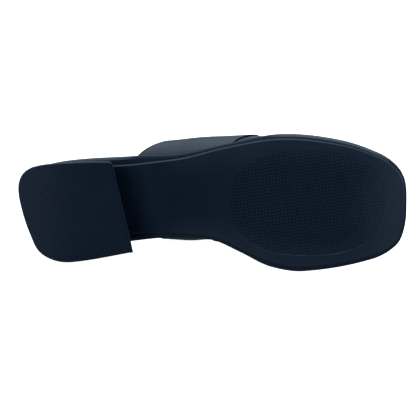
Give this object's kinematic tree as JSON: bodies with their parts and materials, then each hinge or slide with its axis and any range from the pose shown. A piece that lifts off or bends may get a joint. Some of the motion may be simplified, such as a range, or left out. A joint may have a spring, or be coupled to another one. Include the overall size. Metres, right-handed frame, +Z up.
{
  "type": "heeled mule",
  "caption": "Open right mule lying on its inner side: crossing leather straps over a leather-wrapped footbed, with a shaped rubber outsole and a flared block heel.",
  "frame": {"origin": "middle of the floor rectangle that the lying shoe covers", "axes": "+X from heel to toe, +Z up with the shoe on its inner side, the sole facing -Y"},
  "size_m": [0.2522, 0.103, 0.0858],
  "materials": {
    "outsole_rubber": "matt black moulded rubber with a fine tread under the forefoot",
    "footbed_leather": "smooth black leather wrapped round the footbed",
    "sock_leather": "soft black leather sock",
    "heel_lacquer": "black lacquered moulded heel",
    "top_piece_rubber": "matt black rubber with fine ribs",
    "strap_leather": "smooth black leather with a soft sheen"
  },
  "bodies": {
    "root": {"outsole": "outsole_rubber", "footbed": "footbed_leather", "insole": "sock_leather", "heel_block": "heel_lacquer", "heel_top_piece": "top_piece_rubber", "upper": "strap_leather"}
  },
  "joints": []
}
